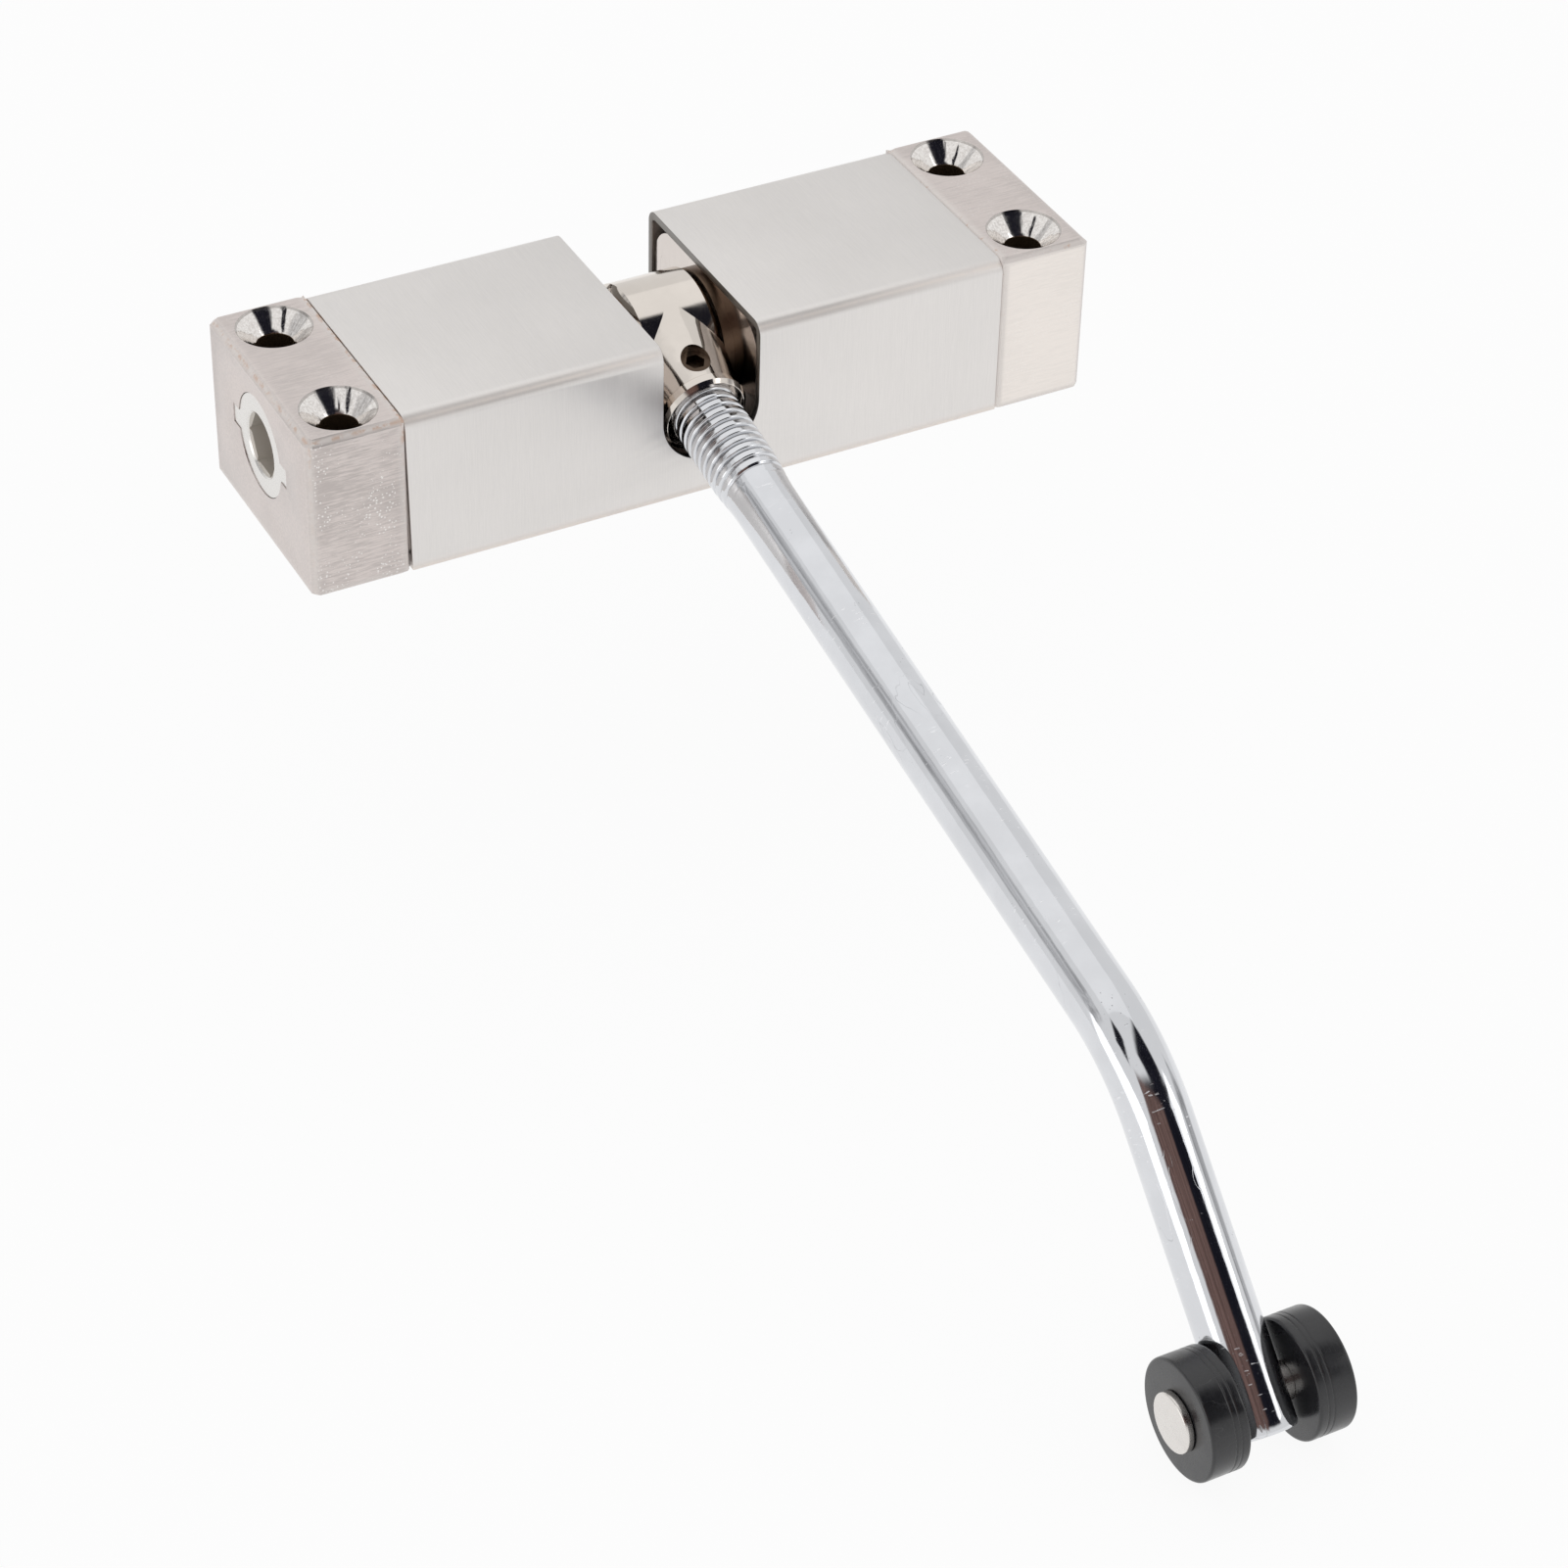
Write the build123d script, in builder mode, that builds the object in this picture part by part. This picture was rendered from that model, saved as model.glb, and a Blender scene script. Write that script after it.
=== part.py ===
"""Spring door closer: a sprung hub in a sheet-metal cover swings a bent arm with two rollers.

The origin is the middle of the mounting face. X runs along the body, -Y is the side that the
arm comes out of at rest, and Z points away from the mounting face. Sizes are in millimetres.
"""

import os
from math import cos, pi, radians, sin

from build123d import *

# Overall body
body_length = 120.0
body_width = 35.0
body_height = 25.0
axis_depth = 10.7

# Clearances between pieces
running_clearance = 0.05
seat_clearance = 0.1
face_gap = 0.3

# End blocks
block_length = 14.1
block_edge = 0.9
block_foot_edge = 0.4
spigot_length = 6.0
spigot_corner = 0.8
spigot_slot_width = 11.0
hole_inset = 7.3
hole_spacing = 22.2
hole_radius = 2.6
countersink_radius = 5.4
countersink_angle = 90.0

# Sheet cover
cover_wall = 1.2
cover_inset = 0.1
cover_bend = 2.0
cover_play = 0.5
slot_width = 14.75
slot_drop = 1.475

# Base plate and its screws
base_thickness = 2.0
screw_radius = 1.5
screw_head_radius = 2.8
block_screw_length = 8.0
plate_screw_length = 6.0
screw_socket_flats = 2.0
screw_socket_depth = 1.2
block_screw_inset = 3.0
block_screw_spacing = 24.0
plate_screw_spacing = 22.0

# Bearing plates and bushes
plate_thickness = 4.5
plate_corner = 6.0
plate_foot_corner = 1.0
bush_wall = 1.3
bush_flange_radius = 9.1
bush_flange_thickness = 1.4

# Arm hub
barrel_radius = 9.6
barrel_length = 12.2
barrel_edge = 0.9
journal_radius = 6.5
journal_reach = 0.6
arbor_radius = 4.8
arbor_length = 5.0
boss_start = 2.6
boss_start_radius = 9.3
boss_end = 14.4
boss_end_radius = 6.0
collar_radius = 6.45
collar_length = 1.6
collar_edge = 0.5
mouth_depth = 0.9
arm_droop = 11.1

# Arm rod
thread_radius = 4.95
thread_clearance = 0.02
thread_start = 4.0
thread_end = 24.9
rod_radius = 4.5
rod_upper = 136.6
rod_lower = 49.4
rod_bend = 33.2
rod_bend_radius = 30.0
rod_edge = 0.5

# Grub screw in the boss
grub_radius = 2.1
grub_place = 11.3
grub_length = 2.0
grub_bite = 0.8
grub_socket_flats = 2.5
grub_socket_depth = 1.2

# Rollers and their axle
roller_radius = 8.1
roller_width = 5.5
roller_gap = 0.45
roller_edge = 0.45
axle_radius = 2.5
axle_place = 44.1
axle_head_radius = 4.0
axle_head_thickness = 1.1
axle_head_edge = 0.35

# Tension adjusters
adjuster_radius = 7.35
adjuster_tab_reach = 9.3
adjuster_tab_width = 2.9
adjuster_lip = 2.0
adjuster_shoulder = 0.4
adjuster_body = 10.0
adjuster_travel = 2.2
adjuster_recess = 0.15
key_flats = 8.0
key_depth = 7.0
key_chamfer = 0.5

# Torsion springs
wire = 2.3
coil_radius = 6.4
coil_gap = 0.35
bends_per_turn = 12

# Derived places along the body
half_length = body_length / 2
hole_x = half_length - hole_inset
shoulder_x = half_length - block_length
barrel_half = barrel_length / 2
flange_inner_x = barrel_half + face_gap
plate_inner_x = flange_inner_x + bush_flange_thickness
plate_outer_x = plate_inner_x + plate_thickness
journal_end = plate_outer_x + journal_reach
arbor_end = journal_end + arbor_length
block_screw_x = shoulder_x - block_screw_inset
plate_screw_x = plate_inner_x + plate_thickness / 2
adjuster_back_x = half_length - adjuster_body
adjuster_arbor_end = adjuster_back_x - arbor_length - adjuster_travel
spring_inner_x = journal_end + wire / 2
spring_length = adjuster_back_x - wire / 2 - spring_inner_x
coil_turns = int(spring_length / (wire + coil_gap))

# Derived sections
axis_height = body_height - axis_depth
slot_centre = axis_height - slot_drop
cover_width = body_width - 2 * cover_inset
cover_top = body_height - cover_inset
inner_width = cover_width - 2 * cover_wall
inner_top = cover_top - cover_wall
inner_bend = cover_bend - cover_wall
insert_width = inner_width - 2 * seat_clearance
insert_top = inner_top - seat_clearance
insert_floor = base_thickness + seat_clearance
bush_bore = journal_radius + running_clearance
bush_radius = bush_bore + bush_wall
tang_slot = wire + seat_clearance
tang_width = wire - 2 * seat_clearance
adjuster_window = adjuster_radius + seat_clearance
adjuster_body_radius = adjuster_window + adjuster_shoulder
block_bore = adjuster_body_radius + running_clearance
tab_clear_radius = adjuster_tab_reach + seat_clearance

# The arm's own frame: its Z runs from the hub axis out along the rod, its Y points up
droop = radians(arm_droop)
arm_direction = Vector(0, -cos(droop), -sin(droop))
arm_up = Vector(0, -sin(droop), cos(droop))
hub_centre = Vector(0, 0, axis_height)
arm_plane = Plane(origin=hub_centre, x_dir=(1, 0, 0), z_dir=arm_direction)
arm_axis = Axis(hub_centre, arm_direction)
collar_end = boss_end + collar_length
grub_plane = Plane(hub_centre + arm_direction * grub_place, x_dir=(1, 0, 0), z_dir=arm_up)
grub_floor = thread_radius - grub_bite
lower_direction = Vector(0, -cos(droop + radians(rod_bend)), -sin(droop + radians(rod_bend)))
arm_start = hub_centre + arm_direction * (thread_start + thread_end) / 2
arm_corner = hub_centre + arm_direction * rod_upper
arm_end = arm_corner + lower_direction * rod_lower
axle_centre = arm_corner + lower_direction * axle_place
roller_inner_x = rod_radius + roller_gap
axle_half = roller_inner_x + roller_width + seat_clearance


def across(x, side):
    """The plane across the hub axis at distance x on one side, facing away from the middle."""
    return Plane(origin=(side * x, 0, axis_height), x_dir=(0, 1, 0), z_dir=(side, 0, 0))


def arm_point(along, out):
    """Sketch point on Plane.YZ at a distance along the arm and out from its centre line."""
    place = hub_centre + arm_direction * along + arm_up * out
    return (place.Y, place.Z)


def make_end_block(side):
    """Cast block: spigot, bore and notched window for the adjuster, countersunk holes."""
    with BuildPart() as block:
        with BuildSketch(Plane.XY):
            with Locations((side * (shoulder_x + block_length / 2), 0)):
                Rectangle(block_length, body_width)
        extrude(amount=body_height)
        chamfer(block.edges().filter_by(Axis.Z), block_edge)
        chamfer(block.faces().sort_by(Axis.Z)[-1].edges(), block_edge)
        chamfer(block.faces().sort_by(Axis.Z)[0].edges(), block_foot_edge)
        with BuildSketch(Plane.YZ.offset(side * shoulder_x)):
            with Locations((0, (insert_floor + insert_top) / 2)):
                RectangleRounded(insert_width, insert_top - insert_floor, spigot_corner)
        extrude(amount=-side * spigot_length)
        with BuildSketch(across(shoulder_x - spigot_length, side)):
            Circle(block_bore)
        extrude(amount=spigot_length + block_length - adjuster_lip, mode=Mode.SUBTRACT)
        with BuildSketch(across(half_length - adjuster_lip, side)):
            Circle(tab_clear_radius)
        extrude(amount=-adjuster_travel - seat_clearance, mode=Mode.SUBTRACT)
        with BuildSketch(across(half_length - adjuster_lip, side)):
            Circle(adjuster_window)
        extrude(amount=adjuster_lip, mode=Mode.SUBTRACT)
        with BuildSketch(across(half_length - adjuster_lip, side)):
            Circle(tab_clear_radius)
            Rectangle(
                2 * tab_clear_radius,
                adjuster_tab_width + 2 * seat_clearance,
                mode=Mode.INTERSECT,
            )
        extrude(amount=adjuster_lip, mode=Mode.SUBTRACT)
        with Locations((side * (shoulder_x - spigot_length / 2), 0, insert_top)):
            Box(spigot_length, spigot_slot_width, block_bore, mode=Mode.SUBTRACT)
        with Locations(Plane((side * hole_x, 0, body_height))):
            with GridLocations(0, hole_spacing, 1, 2):
                CounterSinkHole(
                    hole_radius, countersink_radius, body_height, countersink_angle
                )
        with Locations(Plane((side * block_screw_x, 0, 0), z_dir=(0, 0, -1))):
            with GridLocations(0, block_screw_spacing, 1, 2):
                Hole(screw_radius, depth=block_screw_length + face_gap)
    return block


def make_bearing_plate(side):
    """Upright plate that carries the hub's journal in a bush."""
    with BuildPart() as plate:
        with BuildSketch(Plane.YZ.offset(side * plate_inner_x)) as outline:
            with Locations((0, (base_thickness + insert_top) / 2)):
                Rectangle(insert_width, insert_top - base_thickness)
            fillet(outline.vertices().group_by(Axis.Y)[-1], plate_corner)
            fillet(outline.vertices().group_by(Axis.Y)[0], plate_foot_corner)
        extrude(amount=side * plate_thickness)
        with BuildSketch(across(plate_inner_x, side)):
            Circle(bush_radius)
        extrude(amount=plate_thickness, mode=Mode.SUBTRACT)
        with Locations(Plane((side * plate_screw_x, 0, 0), z_dir=(0, 0, -1))):
            with GridLocations(0, plate_screw_spacing, 1, 2):
                Hole(screw_radius, depth=plate_screw_length + face_gap)
    return plate


def make_bush(side):
    """Flanged bush between the bearing plate and the hub's journal."""
    with BuildPart() as bush:
        with BuildSketch(across(flange_inner_x, side)):
            Circle(bush_flange_radius)
        extrude(amount=bush_flange_thickness)
        with BuildSketch(across(plate_inner_x, side)):
            Circle(bush_radius)
        extrude(amount=plate_thickness)
        with BuildSketch(across(flange_inner_x, side)):
            Circle(bush_bore)
        extrude(amount=bush_flange_thickness + plate_thickness, mode=Mode.SUBTRACT)
    return bush


def make_adjuster(side):
    """Cap with two locking tabs and a key socket outside, and a slotted arbor inside."""
    face_x = half_length - adjuster_recess
    with BuildPart() as adjuster:
        with BuildSketch(across(half_length - adjuster_lip, side)):
            Circle(adjuster_radius)
        extrude(amount=adjuster_lip - adjuster_recess)
        with BuildSketch(across(half_length - adjuster_lip, side)):
            Circle(adjuster_tab_reach)
            Rectangle(2 * adjuster_tab_reach, adjuster_tab_width, mode=Mode.INTERSECT)
        extrude(amount=adjuster_lip - adjuster_recess)
        with BuildSketch(across(adjuster_back_x, side)):
            Circle(adjuster_body_radius)
        extrude(amount=adjuster_body - adjuster_lip)
        with BuildSketch(across(adjuster_arbor_end, side)):
            Circle(arbor_radius)
        extrude(amount=adjuster_back_x - adjuster_arbor_end)
        with BuildSketch(across(adjuster_arbor_end, side)):
            Rectangle(tang_slot, 2 * arbor_radius)
        extrude(amount=adjuster_back_x - adjuster_arbor_end, mode=Mode.SUBTRACT)
        with BuildSketch(across(face_x, side)):
            RegularPolygon(key_flats / 2, 6, major_radius=False)
        extrude(amount=-key_depth, mode=Mode.SUBTRACT)
        with BuildSketch(across(face_x, side)):
            Circle(key_flats / 2 / cos(pi / 6) + key_chamfer / 2)
        extrude(amount=-key_chamfer, taper=45, mode=Mode.SUBTRACT)
    return adjuster


def make_spring(side):
    """Square-wire torsion spring whose ends turn inwards into the hub's and adjuster's slots.

    The coil runs straight from bend to bend, lofted through the wire's section at each bend.
    """
    bends = coil_turns * bends_per_turn
    with BuildPart() as spring:
        for bend in range(bends + 1):
            angle = 2 * pi * bend / bends_per_turn
            outward = Vector(0, -sin(angle), cos(angle))
            onward = Vector(0, -cos(angle), -sin(angle))
            on_axis = Vector(side * (spring_inner_x + spring_length * bend / bends), 0, axis_height)
            wire_centre = on_axis + outward * coil_radius
            with BuildSketch(Plane(wire_centre, x_dir=(1, 0, 0), z_dir=onward)):
                Rectangle(wire, wire)
        loft(ruled=True)
        for tang_x in (spring_inner_x, spring_inner_x + spring_length):
            with BuildSketch(Plane((side * tang_x, 0, axis_height - arbor_radius))):
                Rectangle(tang_width, tang_width)
            extrude(amount=arbor_radius + coil_radius + face_gap)
    return spring


def make_roller(side):
    """Plain nylon roller that turns on the riveted axle."""
    inner_face = axle_centre + Vector(side * roller_inner_x, 0, 0)
    with BuildPart() as roller:
        with BuildSketch(Plane(inner_face, x_dir=(0, 1, 0), z_dir=(side, 0, 0))):
            Circle(roller_radius)
        extrude(amount=roller_width)
        chamfer(roller.edges().filter_by(GeomType.CIRCLE), roller_edge)
        with BuildSketch(Plane(inner_face, x_dir=(0, 1, 0), z_dir=(side, 0, 0))):
            Circle(axle_radius + running_clearance)
        extrude(amount=roller_width, mode=Mode.SUBTRACT)
    return roller


def make_screws(screw_x, spread, length):
    """Four countersunk screws, driven up through the base plate."""
    with BuildPart() as screws:
        with BuildSketch(Plane.XY):
            with GridLocations(2 * screw_x, spread, 2, 2):
                Circle(screw_radius - running_clearance)
        extrude(amount=length)
        with BuildSketch(Plane.XY):
            with GridLocations(2 * screw_x, spread, 2, 2):
                Circle(screw_head_radius - running_clearance)
        extrude(amount=screw_head_radius - screw_radius, taper=45)
        with BuildSketch(Plane.XY):
            with GridLocations(2 * screw_x, spread, 2, 2):
                RegularPolygon(screw_socket_flats / 2, 6, major_radius=False)
        extrude(amount=screw_socket_depth, mode=Mode.SUBTRACT)
    return screws


# Sheet cover with the arm's slot round its back, top and front
with BuildPart() as cover:
    with BuildSketch(Plane.YZ.offset(cover_play - shoulder_x)) as outside:
        with Locations((0, (cover_inset + cover_top) / 2)):
            Rectangle(cover_width, cover_top - cover_inset)
        fillet(outside.vertices().group_by(Axis.Y)[-1], cover_bend)
    extrude(amount=2 * shoulder_x - cover_play)
    with BuildSketch(Plane.YZ.offset(cover_play - shoulder_x)) as hollow:
        with Locations((0, inner_top - body_height / 2)):
            Rectangle(inner_width, body_height)
        fillet(hollow.vertices().group_by(Axis.Y)[-1], inner_bend)
    extrude(amount=2 * shoulder_x - cover_play, mode=Mode.SUBTRACT)
    with BuildSketch(Plane.XZ.offset(-body_width)):
        with Locations((0, slot_centre)):
            Circle(slot_width / 2)
        with Locations((0, slot_centre + body_height / 2)):
            Rectangle(slot_width, body_height)
    extrude(amount=2 * body_width, mode=Mode.SUBTRACT)

# Base plate that closes the cover and ties blocks and bearing plates together
with BuildPart() as base_plate:
    with BuildSketch(Plane.XY):
        Rectangle(2 * (shoulder_x - seat_clearance), insert_width)
    extrude(amount=base_thickness)
    with Locations(Plane((0, 0, 0), z_dir=(0, 0, -1))):
        with GridLocations(2 * block_screw_x, block_screw_spacing, 2, 2):
            CounterSinkHole(screw_radius, screw_head_radius, base_thickness, 90)
        with GridLocations(2 * plate_screw_x, plate_screw_spacing, 2, 2):
            CounterSinkHole(screw_radius, screw_head_radius, base_thickness, 90)

# Cone of the hub's boss, cut to the barrel's width
with BuildPart() as boss:
    with BuildSketch(Plane.YZ):
        with BuildLine():
            Polyline(
                arm_point(boss_start, 0),
                arm_point(boss_start, boss_start_radius),
                arm_point(boss_end, boss_end_radius),
                arm_point(boss_end, 0),
                close=True,
            )
        make_face()
    revolve(axis=arm_axis)
    with Locations(hub_centre):
        Box(barrel_length, 2 * body_width, 2 * body_height, mode=Mode.INTERSECT)

# Hub: barrel, journals, slotted arbors, boss and collar with the threaded bore
with BuildPart() as arm_hub:
    with BuildSketch(across(-barrel_half, 1)):
        Circle(barrel_radius)
    extrude(amount=barrel_length)
    chamfer(arm_hub.edges().filter_by(GeomType.CIRCLE), barrel_edge)
    add(boss.part)
    with BuildSketch(Plane.YZ):
        with BuildLine():
            Polyline(
                arm_point(boss_end - collar_edge, 0),
                arm_point(boss_end - collar_edge, boss_end_radius),
                arm_point(boss_end, collar_radius),
                arm_point(collar_end - collar_edge, collar_radius),
                arm_point(collar_end, collar_radius - collar_edge),
                arm_point(collar_end, 0),
                close=True,
            )
        make_face()
    revolve(axis=arm_axis)
    with BuildSketch(across(-journal_end, 1)):
        Circle(journal_radius)
    extrude(amount=2 * journal_end)
    with BuildSketch(across(-arbor_end, 1)):
        Circle(arbor_radius)
    extrude(amount=2 * arbor_end)
    for side in (-1, 1):
        with BuildSketch(across(arbor_end, side)):
            Rectangle(tang_slot, 2 * arbor_radius)
        extrude(amount=-arbor_length, mode=Mode.SUBTRACT)
    with BuildSketch(arm_plane.offset(thread_start - face_gap)):
        Circle(thread_radius + thread_clearance)
    extrude(amount=collar_end, mode=Mode.SUBTRACT)
    with BuildSketch(arm_plane.offset(collar_end)):
        Circle(thread_radius + thread_clearance + mouth_depth)
    extrude(amount=-mouth_depth, taper=45, mode=Mode.SUBTRACT)
    with BuildSketch(grub_plane):
        Circle(grub_radius + thread_clearance)
    extrude(amount=barrel_radius, mode=Mode.SUBTRACT)

# Bent arm rod: screwed into the boss, cross-drilled for the roller axle
with BuildPart() as arm_rod:
    with BuildSketch(arm_plane.offset(thread_start)):
        Circle(thread_radius)
    extrude(amount=thread_end - thread_start)
    chamfer(arm_rod.edges().filter_by(GeomType.CIRCLE), rod_edge)
    with BuildLine():
        rod_path = FilletPolyline(arm_start, arm_corner, arm_end, radius=rod_bend_radius)
    with BuildSketch(Plane(arm_start, x_dir=(1, 0, 0), z_dir=arm_direction)):
        Circle(rod_radius)
    sweep(path=rod_path)
    chamfer(arm_rod.faces().sort_by(Axis.Z)[0].edges(), rod_edge)
    with BuildSketch(grub_plane.offset(grub_floor)):
        Circle(grub_radius + thread_clearance)
    extrude(amount=barrel_radius, mode=Mode.SUBTRACT)
    with BuildSketch(Plane(axle_centre, x_dir=(0, 1, 0), z_dir=(1, 0, 0))):
        Circle(axle_radius)
    extrude(amount=2 * rod_radius, both=True, mode=Mode.SUBTRACT)

# Grub screw that bites into the rod's thread
with BuildPart() as grub_screw:
    with BuildSketch(grub_plane.offset(grub_floor)):
        Circle(grub_radius)
    extrude(amount=grub_length)
    with BuildSketch(grub_plane.offset(grub_floor + grub_length)):
        RegularPolygon(grub_socket_flats / 2, 6, major_radius=False)
    extrude(amount=-grub_socket_depth, mode=Mode.SUBTRACT)

# Riveted axle with a flat head at each end
with BuildPart() as roller_axle:
    with BuildSketch(Plane(axle_centre, x_dir=(0, 1, 0), z_dir=(1, 0, 0))):
        Circle(axle_radius)
    extrude(amount=axle_half, both=True)
    for side in (-1, 1):
        head_origin = axle_centre + Vector(side * axle_half, 0, 0)
        with BuildSketch(Plane(head_origin, x_dir=(0, 1, 0), z_dir=(side, 0, 0))):
            Circle(axle_head_radius)
        extrude(amount=axle_head_thickness)
    rims = roller_axle.edges().filter_by(GeomType.CIRCLE)
    chamfer([rims.sort_by(Axis.X)[0], rims.sort_by(Axis.X)[-1]], axle_head_edge)

pieces = {
    "cover": cover,
    "base_plate": base_plate,
    "block_screws": make_screws(block_screw_x, block_screw_spacing, block_screw_length),
    "plate_screws": make_screws(plate_screw_x, plate_screw_spacing, plate_screw_length),
    "arm_hub": arm_hub,
    "arm_rod": arm_rod,
    "grub_screw": grub_screw,
    "roller_axle": roller_axle,
}
for side, word in ((-1, "left"), (1, "right")):
    pieces["end_block_" + word] = make_end_block(side)
    pieces["bearing_plate_" + word] = make_bearing_plate(side)
    pieces["bush_" + word] = make_bush(side)
    pieces["torsion_spring_" + word] = make_spring(side)
    pieces["tension_adjuster_" + word] = make_adjuster(side)
    pieces["roller_" + word] = make_roller(side)

os.makedirs("parts", exist_ok=True)
for name, piece in pieces.items():
    piece.part.label = name
    export_step(piece.part, f"parts/{name}.step")
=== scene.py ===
"""Finishes for a spring door closer: brushed blocks and cover, polished hub, threaded arm, rollers.

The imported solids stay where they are. New turned pieces are worked out as whole numpy surfaces,
in metres, in the closer's own frame: X along the body, -Y the side the arm leaves, Z up from the wall.
"""

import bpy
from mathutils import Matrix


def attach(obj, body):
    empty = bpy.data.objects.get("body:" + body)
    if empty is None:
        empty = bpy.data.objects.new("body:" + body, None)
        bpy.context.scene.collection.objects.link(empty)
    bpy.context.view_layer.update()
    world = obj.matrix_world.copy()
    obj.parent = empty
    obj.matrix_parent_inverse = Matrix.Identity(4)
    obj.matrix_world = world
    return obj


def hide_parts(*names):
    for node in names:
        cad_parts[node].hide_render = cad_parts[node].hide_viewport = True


bl_info = {
    "name": "Spring Door Closer",
    "version": (1, 0, 0),
    "blender": (4, 5, 0),
    "location": "View3D > Sidebar > Door Closer",
    "description": "Dresses a sprung door closer: brushed metal, threaded arm, rollers and a plain studio",
    "category": "Object",
}

from math import cos, radians, sin, tan

import bmesh
import bpy
import numpy as np
from bpy.props import FloatProperty, FloatVectorProperty, IntProperty, PointerProperty
from mathutils import Matrix, Vector

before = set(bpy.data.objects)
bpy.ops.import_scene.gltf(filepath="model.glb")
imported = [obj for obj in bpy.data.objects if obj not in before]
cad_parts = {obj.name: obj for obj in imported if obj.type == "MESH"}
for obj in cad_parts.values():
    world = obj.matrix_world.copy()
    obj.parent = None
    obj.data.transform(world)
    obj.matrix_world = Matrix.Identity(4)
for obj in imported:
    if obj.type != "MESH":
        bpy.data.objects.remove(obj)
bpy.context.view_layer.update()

MM = 0.001

# Points nearer than the first count as one place, and points nearer than the second are merged
NEAR, MERGE = 0.01 * MM, 0.001 * MM

# Body: the blocks' outer ends, the shoulders where the cover meets them, and the cover's slot
BODY_END, SHOULDER, HALF_WIDTH, HEIGHT = 60 * MM, 45.9 * MM, 17.5 * MM, 25 * MM
BLOCK_EDGE = 0.9 * MM
COVER_HALF_WIDTH, COVER_HEIGHT, COVER_LEAN = 17.4 * MM, 24.8 * MM, 0.42 * MM
SLOT_CENTRE_Z, SLOT_REACH = 12.825 * MM, 7.42 * MM

# Countersunk holes of the blocks
HOLE_X, HOLE_Y = 52.7 * MM, 11.1 * MM
CONE_RADIUS, RIM_RADIUS, BORE_RADIUS = 5.38 * MM, 5.12 * MM, 2.66 * MM

# Arm: two straight runs, which meet at the bend's corner, and the axle near the lower run's end
HUB_CENTRE = Vector((0, 0, 14.3)) * MM
DROOP, BEND = radians(11.1), radians(33.2)
UPPER_RUN, LOWER_RUN, BEND_RADIUS, AXLE_RUN = 136.6 * MM, 49.4 * MM, 30 * MM, 44.1 * MM
ROD_RADIUS, CREST_RADIUS, THREAD_END = 4.5 * MM, 4.95 * MM, 33.4 * MM
GROOVE_FLOOR, GROOVE_LIP = 4.38 * MM, 4.66 * MM

# Values that a user would change


class CloserSizes(bpy.types.PropertyGroup):
    """Sizes of the turned pieces."""

    thread_pitch: FloatProperty(
        name="Thread pitch",
        description="Distance from one crest of the arm's thread to the next",
        default=1.5 * MM,
        min=0.5 * MM,
        unit="LENGTH",
    )
    thread_depth: FloatProperty(
        name="Thread depth",
        description="Height of the rolled crests over the grooves",
        default=0.55 * MM,
        min=0.1 * MM,
        unit="LENGTH",
    )
    roller_edge: FloatProperty(
        name="Roller edge",
        description="Rounding of the rollers' rims",
        default=0.45 * MM,
        min=0.05 * MM,
        unit="LENGTH",
    )
    rivet_edge: FloatProperty(
        name="Rivet edge",
        description="Rounding of the axle's riveted heads",
        default=0.4 * MM,
        min=0.05 * MM,
        unit="LENGTH",
    )
    edge_break: FloatProperty(
        name="Edge break",
        description="Width of the small bevels on stamped and machined edges",
        default=0.25 * MM,
        min=0.01 * MM,
        unit="LENGTH",
    )
    turning_steps: IntProperty(
        name="Turning steps",
        description="Number of divisions round a turned piece",
        default=128,
        min=32,
    )


class CloserFinishes(bpy.types.PropertyGroup):
    """Colours of the finishes."""

    block_nickel: FloatVectorProperty(
        name="Block nickel",
        description="Warm brushed nickel of the end blocks",
        subtype="COLOR",
        default=(0.66, 0.60, 0.575),
    )
    cover_steel: FloatVectorProperty(
        name="Cover steel",
        description="Pale brushed steel of the sheet cover",
        subtype="COLOR",
        default=(0.775, 0.75, 0.73),
    )
    hub_nickel: FloatVectorProperty(
        name="Hub nickel",
        description="Polished nickel of the hub",
        subtype="COLOR",
        default=(0.74, 0.685, 0.63),
    )
    arm_chrome: FloatVectorProperty(
        name="Arm chrome",
        description="Bright chrome of the arm",
        subtype="COLOR",
        default=(0.715, 0.725, 0.75),
    )
    adjuster_zinc: FloatVectorProperty(
        name="Adjuster zinc",
        description="Bright zinc of the adjusters and screws",
        subtype="COLOR",
        default=(0.76, 0.74, 0.715),
    )
    plate_nickel: FloatVectorProperty(
        name="Plate nickel",
        description="Bright nickel of the bearing plates beside the hub",
        subtype="COLOR",
        default=(0.70, 0.64, 0.60),
    )
    plate_steel: FloatVectorProperty(
        name="Plate steel",
        description="Oiled steel of the base plate",
        subtype="COLOR",
        default=(0.36, 0.34, 0.33),
    )
    bush_bronze: FloatVectorProperty(
        name="Bush bronze",
        description="Sintered bronze of the bushes",
        subtype="COLOR",
        default=(0.17, 0.115, 0.08),
    )
    spring_steel: FloatVectorProperty(
        name="Spring steel",
        description="Oil-tempered wire of the torsion springs",
        subtype="COLOR",
        default=(0.16, 0.155, 0.16),
    )
    roller_nylon: FloatVectorProperty(
        name="Roller nylon",
        description="Charcoal nylon of the rollers",
        subtype="COLOR",
        default=(0.013, 0.013, 0.015),
    )
    rivet_nickel: FloatVectorProperty(
        name="Rivet nickel",
        description="Satin nickel of the axle's heads",
        subtype="COLOR",
        default=(0.76, 0.73, 0.70),
    )
    worn_copper: FloatVectorProperty(
        name="Worn copper",
        description="Copper undercoat that shows where an edge is rubbed",
        subtype="COLOR",
        default=(0.62, 0.40, 0.28),
    )


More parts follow.
